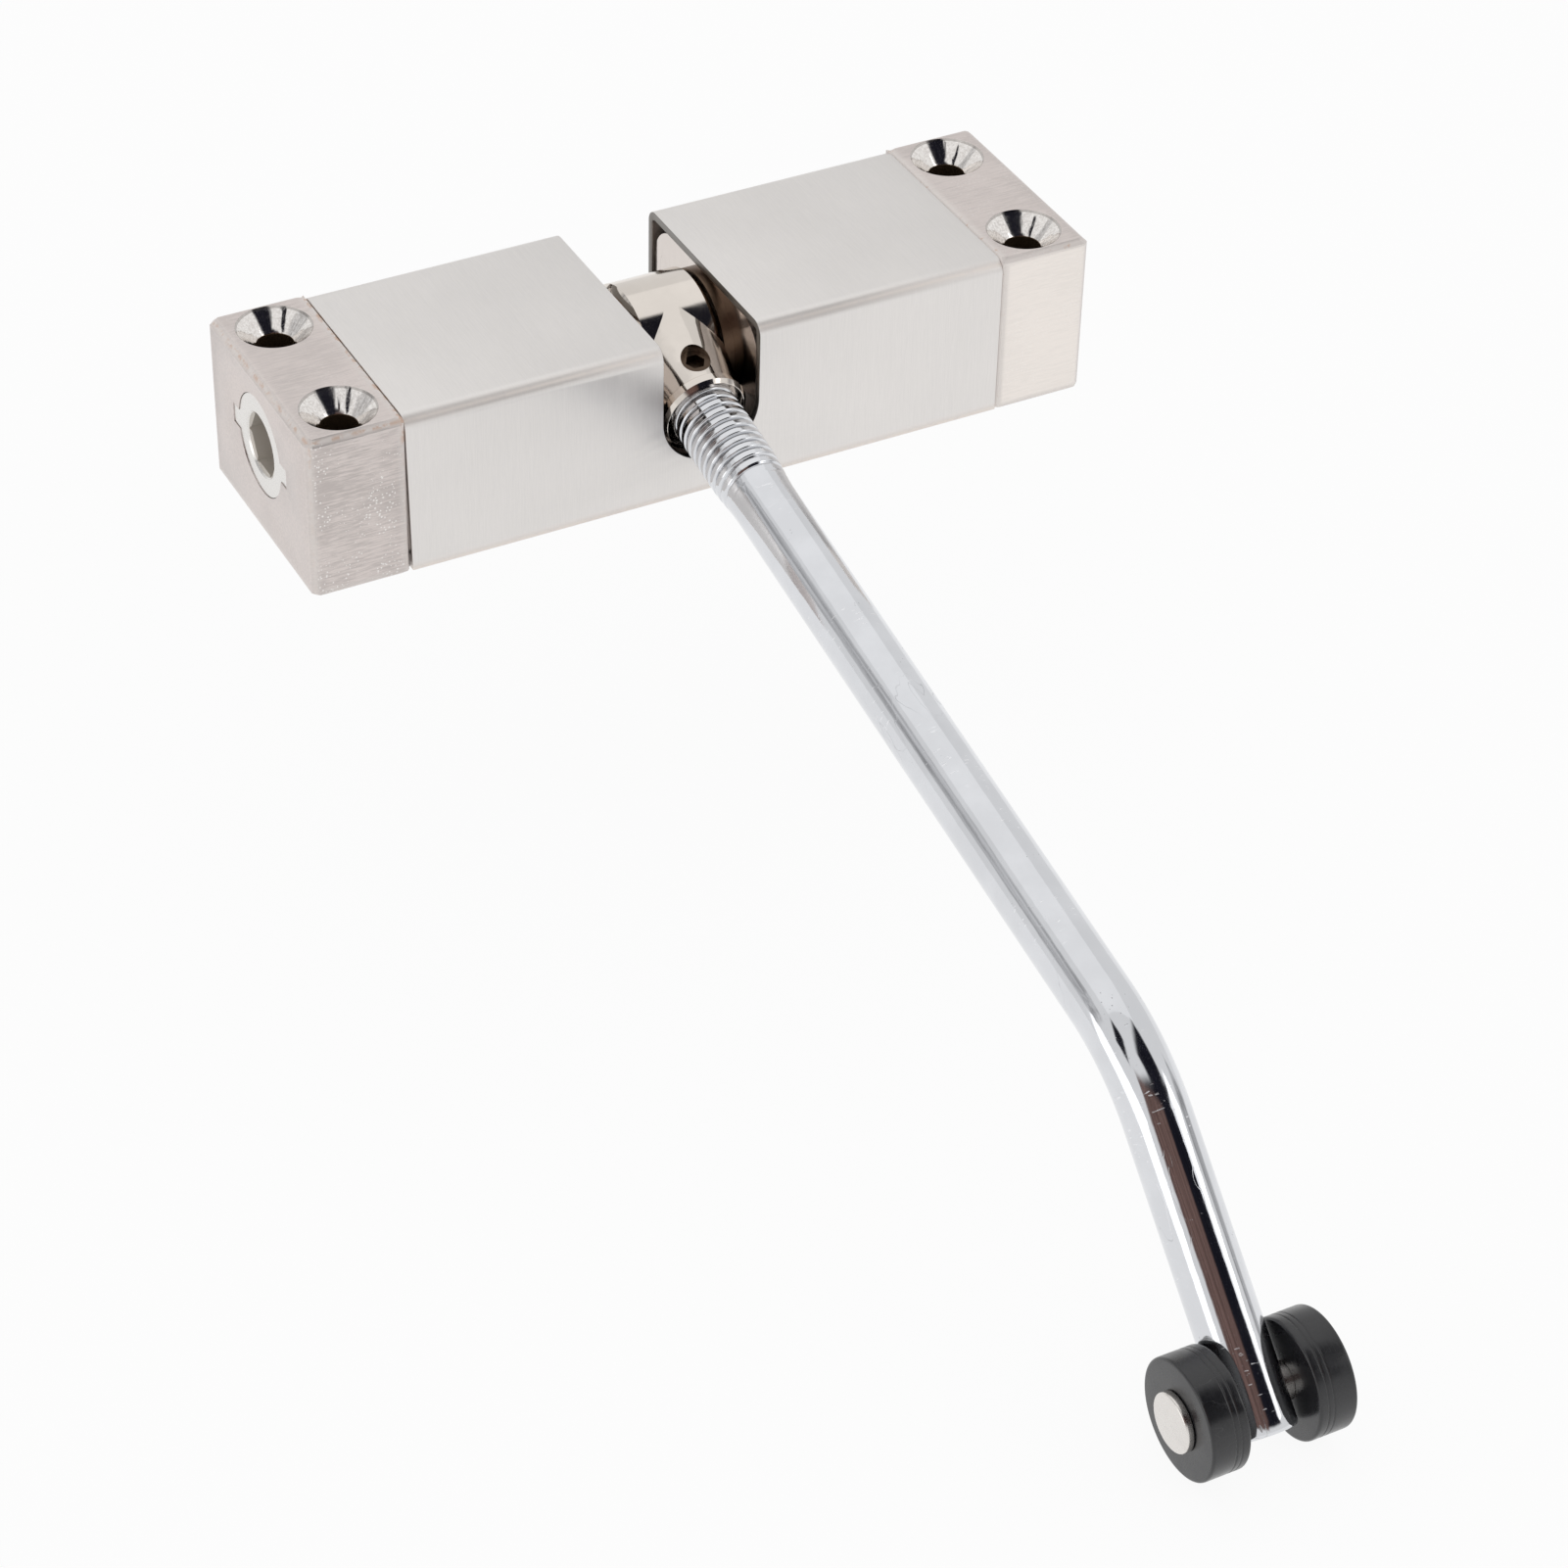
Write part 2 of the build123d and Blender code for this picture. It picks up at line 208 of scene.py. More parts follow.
class CloserStudio(bpy.types.PropertyGroup):
    """Lights and lens of the studio."""

    lens: FloatProperty(
        name="Lens",
        description="Focal length of the camera in millimetres",
        default=101.19,
        min=20,
        unit="CAMERA",
    )
    top_light: FloatProperty(
        name="Top light",
        description="Power of the softbox over the closer",
        default=0.5,
        min=0,
        unit="POWER",
    )
    right_light: FloatProperty(
        name="Right light",
        description="Power of the softbox at the right",
        default=0.5,
        min=0,
        unit="POWER",
    )
    left_light: FloatProperty(
        name="Left light",
        description="Power of the softbox at the left",
        default=1.0,
        min=0,
        unit="POWER",
    )
    room_light: FloatProperty(
        name="Room light",
        description="Even light from all round",
        default=0.7,
        min=0,
    )
    mirrored_room: FloatProperty(
        name="Mirrored room",
        description="Brightness of the studio's pale walls in reflections",
        default=0.84,
        min=0,
    )
    room_dark: FloatVectorProperty(
        name="Room dark",
        description="Colour of the unlit room that the polished metal mirrors",
        subtype="COLOR",
        default=(0.012, 0.012, 0.018),
    )
    door_brown: FloatVectorProperty(
        name="Door brown",
        description="Colour of the wooden door that the arm's lower end mirrors",
        subtype="COLOR",
        default=(0.16, 0.10, 0.088),
    )
    wall_grey: FloatVectorProperty(
        name="Wall grey",
        description="Colour of the wall that the arm's upper part mirrors",
        subtype="COLOR",
        default=(0.56, 0.56, 0.565),
    )


# Shader building


def add_node(tree, kind, sockets=None, **settings):
    """A node with its settings, its sockets set to values or linked from other sockets."""
    node = tree.nodes.new(kind)
    for name, value in settings.items():
        setattr(node, name, value)
    for name, value in (sockets or {}).items():
        if isinstance(value, bpy.types.NodeSocket):
            tree.links.new(value, node.inputs[name])
        else:
            node.inputs[name].default_value = value
    return node


def maths(tree, operation, first, second=0.0):
    """The output of a Math node."""
    return add_node(tree, "ShaderNodeMath", {0: first, 1: second}, operation=operation).outputs[0]


def times(tree, first, second):
    """The product of two values, and of two masks where both hold."""
    return maths(tree, "MULTIPLY", first, second)


def plus(tree, first, second):
    """The sum of two values."""
    return maths(tree, "ADD", first, second)


def minus(tree, first, second):
    """The first value less the second."""
    return maths(tree, "SUBTRACT", first, second)


def either(tree, first, second):
    """The greater of two values, and of two masks where one holds."""
    return maths(tree, "MAXIMUM", first, second)


def below(tree, value, limit):
    """1 where the value is under the limit, else 0."""
    return maths(tree, "LESS_THAN", value, limit)


def above(tree, value, limit):
    """1 where the value is over the limit, else 0."""
    return maths(tree, "GREATER_THAN", value, limit)


def size_of(tree, value):
    """The value without its sign."""
    return maths(tree, "ABSOLUTE", value)


def vector_maths(tree, operation, first, second=(0, 0, 0)):
    """The output of a Vector Math node, a vector except for a length."""
    node = add_node(tree, "ShaderNodeVectorMath", {0: first, 1: second}, operation=operation)
    return node.outputs["Value" if operation == "LENGTH" else "Vector"]


def split(tree, vector):
    """The X, Y and Z parts of a vector."""
    return add_node(tree, "ShaderNodeSeparateXYZ", {0: vector}).outputs


def distance(tree, x, y, z):
    """The length of the vector with those parts."""
    joined = add_node(tree, "ShaderNodeCombineXYZ", {0: x, 1: y, 2: z}).outputs[0]
    return vector_maths(tree, "LENGTH", joined)


def spread(tree, value, low, high, new_low=0.0, new_high=1.0):
    """The value carried smoothly from one range to another and held at its ends."""
    node = add_node(
        tree,
        "ShaderNodeMapRange",
        {"Value": value, 1: low, 2: high, 3: new_low, 4: new_high},
        interpolation_type="SMOOTHSTEP",
    )
    return node.outputs[0]


def blend_colours(tree, share, first, second, way="MIX"):
    """The colour between two colours, by share."""
    sockets = {0: share, 6: first, 7: second}
    return add_node(tree, "ShaderNodeMix", sockets, data_type="RGBA", blend_type=way).outputs[2]


def noise(tree, place, scale, detail=4.0, roughness=0.6):
    """Noise from 0 to 1 at that many cells per metre."""
    return add_node(
        tree,
        "ShaderNodeTexNoise",
        {"Vector": place, "Scale": scale, "Detail": detail, "Roughness": roughness},
    ).outputs[0]


def stretched_noise(tree, place, cells, detail, roughness, scale=1.0):
    """Noise from 0 to 1 whose cells per metre differ along X, Y and Z, all times the scale."""
    return noise(tree, vector_maths(tree, "MULTIPLY", place, cells), scale, detail, roughness)


# Patterns that the finishes share


def new_group(name, inputs, outputs):
    """An empty node group with its sockets, its input node's outputs and its output node's inputs."""
    group = bpy.data.node_groups.new(name, "ShaderNodeTree")
    kinds = {"value": "NodeSocketFloat", "vector": "NodeSocketVector"}
    for socket, kind, default in inputs:
        made = group.interface.new_socket(socket, in_out="INPUT", socket_type=kinds[kind])
        made.default_value = default
    for socket in outputs:
        group.interface.new_socket(socket, in_out="OUTPUT", socket_type="NodeSocketFloat")
    return group, group.nodes.new("NodeGroupInput").outputs, group.nodes.new("NodeGroupOutput").inputs


def brush_grain():
    """Streaks of a brushed surface: noise whose cells are long one way and thin the other."""
    if "Brush grain" in bpy.data.node_groups:
        return bpy.data.node_groups["Brush grain"]
    group, given, result = new_group(
        "Brush grain",
        [
            ("Place", "vector", (0, 0, 0)),
            ("Cells per metre", "vector", (1000, 1000, 1000)),
            ("Cloud scale", "value", 70),
        ],
        ["Shade", "Height"],
    )
    stretched = vector_maths(group, "MULTIPLY", given["Place"], given["Cells per metre"])
    long_streaks = noise(group, stretched, 1.0, 5, 0.65)
    fine_streaks = noise(group, stretched, 3.1, 3, 0.6)
    clouds = noise(group, given["Place"], given["Cloud scale"], 3, 0.5)
    streaks = plus(group, times(group, long_streaks, 0.65), times(group, fine_streaks, 0.35))
    shade = plus(group, times(group, streaks, 0.7), times(group, clouds, 0.3))
    group.links.new(spread(group, shade, 0.3, 0.7), result["Shade"])
    group.links.new(streaks, result["Height"])
    return group


def small_wear():
    """Pits and hairline scratches: thresholded cells and a thin band of stretched noise."""
    if "Small wear" in bpy.data.node_groups:
        return bpy.data.node_groups["Small wear"]
    group, given, result = new_group(
        "Small wear",
        [
            ("Place", "vector", (0, 0, 0)),
            ("Pits per metre", "value", 900),
            ("Pit size", "value", 0.14),
            ("Patch level", "value", 0.5),
            ("Scratch stretch", "vector", (400, 400, 60)),
        ],
        ["Pits", "Scratches"],
    )
    place, level = given["Place"], given["Patch level"]
    cells = add_node(
        group, "ShaderNodeTexVoronoi", {"Vector": place, "Scale": given["Pits per metre"], "Randomness": 1.0}
    )
    dense = spread(group, noise(group, place, 130.0, 3, 0.6), level, plus(group, level, 0.22))
    outside = minus(group, cells.outputs["Distance"], times(group, given["Pit size"], dense))
    pits = minus(group, 1.0, spread(group, outside, -0.03, 0.02))
    group.links.new(pits, result["Pits"])
    lines = stretched_noise(group, place, given["Scratch stretch"], 2, 0.4)
    thin = size_of(group, minus(group, lines, 0.5))
    mask = minus(group, 1.0, spread(group, thin, 0.0, 0.006))
    rare = spread(group, noise(group, place, 45.0, 2, 0.5), 0.52, 0.68)
    group.links.new(times(group, mask, rare), result["Scratches"])
    return group


def patchy_edges():
    """Nearness to a box's edges: the second smallest distance to its faces, broken up by noise."""
    if "Patchy edges" in bpy.data.node_groups:
        return bpy.data.node_groups["Patchy edges"]
    group, given, result = new_group(
        "Patchy edges",
        [
            ("Place", "vector", (0, 0, 0)),
            ("Centre", "vector", (0, 0, 0)),
            ("Half size", "vector", (0.01, 0.01, 0.01)),
            ("Width", "value", 0.001),
            ("Patchiness", "value", 0.5),
        ],
        ["Edge", "Patchy edge"],
    )
    outward = vector_maths(group, "SUBTRACT", given["Place"], given["Centre"])
    outward = vector_maths(group, "ABSOLUTE", outward)
    x, y, z = split(group, vector_maths(group, "SUBTRACT", given["Half size"], outward))
    low, high = maths(group, "MINIMUM", x, y), maths(group, "MAXIMUM", x, y)
    second = maths(group, "MAXIMUM", low, maths(group, "MINIMUM", high, z))
    near = maths(group, "DIVIDE", second, given["Width"])
    edge = minus(group, 1.0, spread(group, near, 0.0, 1.0))
    group.links.new(edge, result["Edge"])
    patches = noise(group, given["Place"], 520.0, 5, 0.7)
    patches = spread(group, patches, given["Patchiness"], plus(group, given["Patchiness"], 0.12))
    group.links.new(times(group, spread(group, edge, 0.4, 0.95), patches), result["Patchy edge"])
    return group


class Finish:
    """A material being made: its tree, its shader and the place it reads patterns from."""

    def __init__(self, name, roughness, metallic=1.0, attribute=None):
        self.material = bpy.data.materials.new(name)
        self.material.use_nodes = True
        self.tree = self.material.node_tree
        self.shader = self.tree.nodes["Principled BSDF"]
        self.shader.inputs["Roughness"].default_value = roughness
        self.shader.inputs["Metallic"].default_value = metallic
        if attribute:
            source = add_node(self.tree, "ShaderNodeAttribute", attribute_name=attribute)
            self.place = source.outputs["Vector"]
        else:
            self.place = add_node(self.tree, "ShaderNodeTexCoord").outputs["Object"]

    def pattern(self, group, sockets):
        """The outputs of a shared pattern read at this finish's place."""
        return add_node(
            self.tree, "ShaderNodeGroup", {"Place": self.place, **sockets}, node_tree=group
        ).outputs

    def grain(self, cells, clouds):
        """Brushed streaks, by their cells per metre along X, Y and Z, and the clouds'."""
        return self.pattern(brush_grain(), {"Cells per metre": cells, "Cloud scale": clouds})

    def wear(self, pits, size, stretch, patches=0.5):
        """Pits, by their number per metre, size and patches, and scratches, by their stretch."""
        return self.pattern(
            small_wear(),
            {"Pits per metre": pits, "Pit size": size, "Patch level": patches, "Scratch stretch": stretch},
        )

    def edges(self, centre, half_size, width, patchiness):
        """The edges of a box, to that width, and patches along them."""
        return self.pattern(
            patchy_edges(),
            {"Centre": centre, "Half size": half_size, "Width": width, "Patchiness": patchiness},
        )

    def mottled(self, share, colour, low, high):
        """The colour from low times to high times itself, by share."""
        return blend_colours(self.tree, share, tinted(colour, low), tinted(colour, high))

    def colour(self, socket):
        """Links the shader's colour."""
        self.tree.links.new(socket, self.shader.inputs["Base Color"])

    def metallic(self, socket):
        """Links the shader's metallic value."""
        self.tree.links.new(socket, self.shader.inputs["Metallic"])

    def roughness(self, socket):
        """Links the shader's roughness."""
        self.tree.links.new(socket, self.shader.inputs["Roughness"])

    def bump(self, height, distance, strength):
        """Links the shader's normal to a bump of that height."""
        sockets = {"Height": height, "Distance": distance, "Strength": strength}
        bump = add_node(self.tree, "ShaderNodeBump", sockets)
        self.tree.links.new(bump.outputs[0], self.shader.inputs["Normal"])


def tinted(colour, factor):
    """The colour times a factor, with full alpha."""
    return (*(min(1.0, channel * factor) for channel in colour), 1.0)


# Surfaces


def softened(corners, reach, steps):
    """A closed outline with rounded corners.

    Each corner becomes a parabola from the point at its reach before the corner to the point
    at its reach after it: (1-t)^2 times the first, 2t(1-t) times the corner, t^2 times the last.
    """
    corners = np.asarray(corners, float)
    reach = np.asarray(reach, float)[:, None]
    before = np.roll(corners, 1, axis=0) - corners
    after = np.roll(corners, -1, axis=0) - corners
    start = corners + before / np.linalg.norm(before, axis=1)[:, None] * reach
    end = corners + after / np.linalg.norm(after, axis=1)[:, None] * reach
    t = np.linspace(0, 1, steps)[None, :, None]
    curve = (1 - t) ** 2 * start[:, None] + 2 * t * (1 - t) * corners[:, None] + t**2 * end[:, None]
    return curve.reshape(-1, 2)


def eased(value):
    """From 0 to 1 with a smooth start and stop: three squares of the value less two cubes."""
    value = np.clip(value, 0, 1)
    return value * value * (3 - 2 * value)


def grid_faces(rows, columns, closed_rows=False):
    """Quads between neighbouring rows and columns of a grid whose columns close on themselves."""
    last = rows if closed_rows else rows - 1
    row, column = np.meshgrid(np.arange(last), np.arange(columns), indexing="ij")
    here, there = row * columns, (row + 1) % rows * columns
    beside = (column + 1) % columns
    quads = np.stack([here + column, here + beside, there + beside, there + column], axis=-1)
    return quads.reshape(-1, 4)


def add_object(name, data):
    """A new object of that data in the scene."""
    made = bpy.data.objects.new(name, data)
    bpy.context.scene.collection.objects.link(made)
    return made


def make_piece(name, points, quads, finish, attribute=None):
    """A mesh object from a grid of points: doubles at the poles merged, faces turned outwards."""
    mesh = bpy.data.meshes.new(name)
    mesh.from_pydata(points.reshape(-1, 3).tolist(), [], quads.tolist())
    if attribute is not None:
        layer = mesh.attributes.new("run", "FLOAT_VECTOR", "POINT")
        layer.data.foreach_set("vector", attribute.reshape(-1).astype(np.float32))
    work = bmesh.new()
    work.from_mesh(mesh)
    bmesh.ops.remove_doubles(work, verts=work.verts, dist=MERGE)
    bmesh.ops.recalc_face_normals(work, faces=work.faces)
    work.to_mesh(mesh)
    work.free()
    mesh.shade_smooth()
    mesh.materials.append(finish)
    return add_object(name, mesh)


def turned(name, outline, centre, side, steps, finish):
    """A turned piece: the outline's (along, radius) carried round the axis through centre along X.

    A point at angle a stands at centre + side*along on X and radius*(cos a, sin a) on Y and Z.
    """
    angle = np.linspace(0, 2 * np.pi, steps, endpoint=False)
    along, radius = outline[:, 0][:, None], outline[:, 1][:, None]
    points = np.empty((len(outline), steps, 3))
    points[..., 0] = centre[0] + side * along
    points[..., 1] = centre[1] + radius * np.cos(angle)
    points[..., 2] = centre[2] + radius * np.sin(angle)
    return make_piece(name, points, grid_faces(len(outline), steps, True), finish)


def edged_copy(node, name, width, finish, reshape):
    """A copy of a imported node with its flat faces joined, its points reshaped and its edges broken."""
    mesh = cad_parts[node].data.copy()
    mesh.name = name
    work = bmesh.new()
    work.from_mesh(mesh)
    bmesh.ops.remove_doubles(work, verts=work.verts, dist=MERGE)
    bmesh.ops.dissolve_limit(work, angle_limit=radians(0.6), verts=work.verts, edges=work.edges)
    work.to_mesh(mesh)
    work.free()
    points = np.empty(3 * len(mesh.vertices))
    mesh.vertices.foreach_get("co", points)
    mesh.vertices.foreach_set("co", reshape(points.reshape(-1, 3)).ravel())
    mesh.shade_smooth()
    mesh.materials.clear()
    mesh.materials.append(finish)
    piece = add_object(name, mesh)
    bevel = piece.modifiers.new("Edge break", "BEVEL")
    bevel.width = width
    bevel.segments = 3
    bevel.limit_method = "ANGLE"
    bevel.angle_limit = radians(28)
    bevel.harden_normals = True
    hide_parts(node)
    return piece


def tight_shoulder(points):
    """A block's points with the broken edges beside the cover drawn in to a third of their width.

    The edge's inner line moves along X towards the shoulder, its outer line in Y and Z outwards.
    """
    x, y, z = np.abs(points[:, 0]), np.abs(points[:, 1]), points[:, 2]
    side, hand = np.sign(points[:, 0]), np.sign(points[:, 1])
    drawn = BLOCK_EDGE / 3
    inner = (x > SHOULDER + NEAR) & (x < SHOULDER + BLOCK_EDGE + NEAR)
    points[inner, 0] = side[inner] * (SHOULDER + drawn)
    outer = np.abs(x - SHOULDER) < NEAR
    flank = outer & (y > HALF_WIDTH - BLOCK_EDGE - NEAR)
    points[flank, 1] = hand[flank] * (HALF_WIDTH - drawn)
    crown = outer & (z > HEIGHT - BLOCK_EDGE - NEAR)
    points[crown, 2] = HEIGHT - drawn
    return points


def leaning_end(points):
    """The cover's points with its left end leaning: shut at the top, open at the foot."""
    at_end = points[:, 0] < points[:, 0].min() + NEAR
    points[at_end, 0] -= COVER_LEAN * points[at_end, 2] / HEIGHT
    return points


# Finishes


def cover_finish(colours):
    """Brushed sheet: streaks across the body, dark cut edges round the slot, a painted warm highlight along
    the long edges.
    """
    finish = Finish("Brushed cover", 0.33)
    tree = finish.tree
    grain = finish.grain((8200, 260, 260), 55)
    base = finish.mottled(grain["Shade"], colours.cover_steel, 0.94, 1.05)
    middle, past_ends = COVER_HEIGHT / 2, BODY_END + 20 * MM
    edge = finish.edges((0, 0, middle), (past_ends, COVER_HALF_WIDTH, middle), 1.6 * MM, 0.36)
    # Painted highlight: the long edges, the bent top front edge among them, are painted pale and warm, paler
    # still in patches, with less metallic and more roughness there.
    base = blend_colours(tree, times(tree, edge["Edge"], 0.8), base, (0.93, 0.85, 0.80, 1))
    base = blend_colours(tree, times(tree, edge["Patchy edge"], 0.5), base, (0.98, 0.90, 0.82, 1))
    x, _, z = split(tree, finish.place)
    drop = maths(tree, "MINIMUM", minus(tree, z, SLOT_CENTRE_Z), 0.0)
    cut = below(tree, distance(tree, x, 0.0, drop), SLOT_REACH)
    finish.colour(blend_colours(tree, cut, base, (0.20, 0.185, 0.17, 1)))
    finish.metallic(spread(tree, edge["Edge"], 0.0, 0.8, 1.0, 0.3))
    dull = spread(tree, grain["Shade"], 0.0, 1.0, 0.30, 0.40)
    finish.roughness(plus(tree, dull, times(tree, edge["Edge"], 0.15)))
    finish.bump(grain["Height"], 0.02 * MM, 0.35)
    return finish.material


def countersinks(tree, x, y):
    """Masks of the blocks' countersunk holes: the cone, its outer rim and the bore."""
    across = minus(tree, size_of(tree, x), HOLE_X)
    along = minus(tree, size_of(tree, y), HOLE_Y)
    reach = distance(tree, across, along, 0.0)
    cone = below(tree, reach, CONE_RADIUS)
    return cone, times(tree, above(tree, reach, RIM_RADIUS), cone), below(tree, reach, BORE_RADIUS)


def block_finish(colours, side):
    """Brushed nickel over copper: streaks along the body, pits painted as glints, copper wear and a painted
    highlight on the edges, polished countersinks with painted highlight and painted shade, painted shade on
    the left block's front and painted light on the right block's front.
    """
    finish = Finish("Brushed block " + ("left" if side < 0 else "right"), 0.36)
    tree, place, nickel = finish.tree, finish.place, colours.block_nickel
    grain = finish.grain((240, 2800, 2800), 90)
    wear = finish.wear(1900, 0.30, (60, 500, 500), 0.38)
    streaks = spread(tree, grain["Shade"], 0.2, 0.8)
    base = finish.mottled(streaks, nickel, 0.93, 1.10)
    x, y, z = split(tree, place)
    front_depth, crown_depth = 0.2 * MM, 0.7 * MM
    front = below(tree, y, front_depth - HALF_WIDTH)
    if side < 0:
        # The left block's front: darker streaks along the grain, which also lay painted shade over the whole
        # face.
        patch_share = times(tree, front, minus(tree, 1.0, streaks))
        base = blend_colours(tree, times(tree, patch_share, 0.7), base, tinted(nickel, 0.74))
        seen = either(tree, front, above(tree, z, HEIGHT - crown_depth))
        seen = times(tree, seen, below(tree, y, BLOCK_EDGE - HALF_WIDTH))
        specks = times(tree, wear["Pits"], plus(tree, times(tree, seen, 0.55), 0.1))
    else:
        base = blend_colours(tree, times(tree, front, 0.6), base, tinted(nickel, 1.0))
        # Painted light: the right block's front is multiplied lighter, as if lit more brightly.
        base = blend_colours(tree, front, base, (1.30, 1.34, 1.32, 1), "MULTIPLY")
        specks = times(tree, wear["Pits"], 0.15)
    # Painted glints: pits painted near white, on the left block mostly on its front and top front edge.
    base = blend_colours(tree, specks, base, (0.98, 0.96, 0.94, 1))
    centre = (side * (BODY_END + SHOULDER) / 2, 0, HEIGHT / 2)
    half_size = ((BODY_END - SHOULDER) / 2, HALF_WIDTH, HEIGHT / 2)
    edge = finish.edges(centre, half_size, 1.5 * MM, 0.46 if side < 0 else 0.56)
    # Painted highlight: the block's edges are painted pale and warm, with less metallic there; the copper
    # along the top edges is wear.
    base = blend_colours(tree, times(tree, edge["Edge"], 0.7), base, (0.90, 0.84, 0.80, 1))
    upper = spread(tree, z, HEIGHT - 6 * MM, HEIGHT - 1 * MM, 0.15, 0.85)
    base = blend_colours(tree, times(tree, edge["Patchy edge"], upper), base, tinted(colours.worn_copper, 1))
    cone, rim, bore = countersinks(tree, x, y)
    # Painted highlight: the countersink seats are painted paler than the block, with a fine painted sparkle.
    seat_sparkle = spread(tree, noise(tree, place, 2600.0, 3, 0.7), 0.30, 0.68)
    seat_highlight = blend_colours(tree, seat_sparkle, (0.74, 0.70, 0.67, 1), (0.96, 0.93, 0.90, 1))
    base = blend_colours(tree, cone, base, seat_highlight)
    # Painted shade: a dark line round each seat's outer rim.
    base = blend_colours(tree, times(tree, rim, 0.55), base, (0.30, 0.27, 0.25, 1))
    # Painted shade: the bores are painted dark brown.
    finish.colour(blend_colours(tree, bore, base, (0.16, 0.11, 0.07, 1)))
    metal = spread(tree, edge["Edge"], 0.0, 0.7, 1.0, 0.15)
    finish.metallic(minus(tree, metal, times(tree, bore, 0.15)))
    dull = spread(tree, grain["Shade"], 0.0, 1.0, 0.30, 0.44)
    finish.roughness(minus(tree, dull, times(tree, cone, 0.27)))
    brushed = plus(tree, grain["Height"], times(tree, specks, 0.8))
    chatter = times(tree, stretched_noise(tree, place, (1500, 1500, 3400), 4, 0.75), 0.13)
    height = add_node(tree, "ShaderNodeMix", {0: cone, 2: brushed, 3: chatter}).outputs[0]
    finish.bump(height, 0.03 * MM, 0.6)
    return finish.material


def arm_marks(tree, run):
    """Masks of the arm's thread grooves, for painted shade, and of short scratches along the arm, for
    painted glints.
    """
    x, y, along = split(tree, run)
    groove = minus(tree, 1.0, spread(tree, distance(tree, x, y, 0.0), GROOVE_FLOOR, GROOVE_LIP))
    thread = minus(tree, 1.0, spread(tree, along, THREAD_END - 5.9 * MM, THREAD_END - 1.9 * MM))
    nicks_and_glints = spread(tree, stretched_noise(tree, run, (800, 800, 3600), 1, 0.4), 0.69, 0.74)
    patch_share = spread(tree, noise(tree, run, 95.0, 2, 0.5), 0.5, 0.62)
    return times(tree, groove, thread), times(tree, nicks_and_glints, patch_share)


def polished_finish(name, colour, roughness, run=None, ripple=0.01 * MM, stretch=(400, 400, 60)):
    """Mirror-bright plating: a slow ripple, hairline scratches, specks and faint handling marks.

    With the name of the arm's attribute it also gets the thread's grooves, painted dark as shade, and short
    scratches along the arm, rougher and painted bright as glints.
    """
    finish = Finish(name, roughness, attribute=run)
    tree, place = finish.tree, finish.place
    wear = finish.wear(1500, 0.16, stretch)
    smudges = noise(tree, place, 120.0, 4, 0.6)
    base = finish.mottled(spread(tree, smudges, 0.35, 0.7), colour, 0.96, 1.03)
    marks = either(tree, wear["Pits"], wear["Scratches"])
    base = blend_colours(tree, times(tree, marks, 0.55), base, tinted(colour, 0.5))
    if run:
        groove_shade, nicks_and_glints = arm_marks(tree, place)
        # Painted shade: the thread's grooves are painted near black.
        base = blend_colours(tree, groove_shade, base, (0.05, 0.05, 0.055, 1))
        # Painted glints: the scratches along the arm are painted near white.
        base = blend_colours(tree, times(tree, nicks_and_glints, 0.7), base, (0.95, 0.95, 0.97, 1))
        marks = either(tree, marks, nicks_and_glints)
    finish.colour(base)
    dull = spread(tree, smudges, 0.3, 0.75, roughness, roughness + 0.07)
    finish.roughness(plus(tree, dull, times(tree, marks, 0.25)))
    waves = stretched_noise(tree, place, stretch, 3, 0.55, 1.6)
    finish.bump(minus(tree, waves, times(tree, marks, 0.6)), ripple, 0.6)
    return finish.material


def machined_finish(name, colour, roughness, cells=(1800, 1800, 1800), shade=0.12):
    """Plain machined or stamped metal: soft mottling, fine grain and scattered pits."""
    finish = Finish(name, roughness)
    tree = finish.tree
    grain = finish.grain(cells, 160)
    wear = finish.wear(1700, 0.18, (300, 90, 300))
    base = finish.mottled(grain["Shade"], colour, 1 - shade, 1 + shade)
    marks = either(tree, wear["Pits"], wear["Scratches"])
    finish.colour(blend_colours(tree, times(tree, marks, 0.4), base, tinted(colour, 0.55)))
    finish.roughness(spread(tree, grain["Shade"], 0.0, 1.0, roughness - 0.05, roughness + 0.07))
    finish.bump(grain["Height"], 0.02 * MM, 0.4)
    return finish.material


def adjuster_finish(colours):
    """Cast zinc: faint turning marks on the cap, and a socket painted a matt beige, with less metallic, so
    that its shaded inside looks lit.
    """
    finish = Finish("Bright zinc", 0.26)
    tree, zinc = finish.tree, colours.adjuster_zinc
    grain = finish.grain((900, 2400, 2400), 160)
    wear = finish.wear(1700, 0.2, (300, 90, 300))
    base = finish.mottled(grain["Shade"], zinc, 0.93, 1.07)
    socket_radius, socket_mouth = 4.7 * MM, BODY_END - 0.4 * MM
    x, y, z = split(tree, vector_maths(tree, "SUBTRACT", finish.place, tuple(HUB_CENTRE)))
    within = below(tree, distance(tree, 0.0, y, z), socket_radius)
    socket = times(tree, within, below(tree, size_of(tree, x), socket_mouth))
    # Painted light: the socket's inside, where shade falls, is painted a matt beige so that it looks lit.
    base = blend_colours(tree, socket, base, (0.60, 0.56, 0.51, 1))
    finish.colour(blend_colours(tree, times(tree, wear["Pits"], 0.5), base, tinted(zinc, 0.5)))
    finish.metallic(minus(tree, 1.0, times(tree, socket, 0.55)))
    dull = spread(tree, grain["Shade"], 0.0, 1.0, 0.2, 0.32)
    finish.roughness(plus(tree, dull, times(tree, socket, 0.2)))
    finish.bump(grain["Height"], 0.02 * MM, 0.4)
    return finish.material


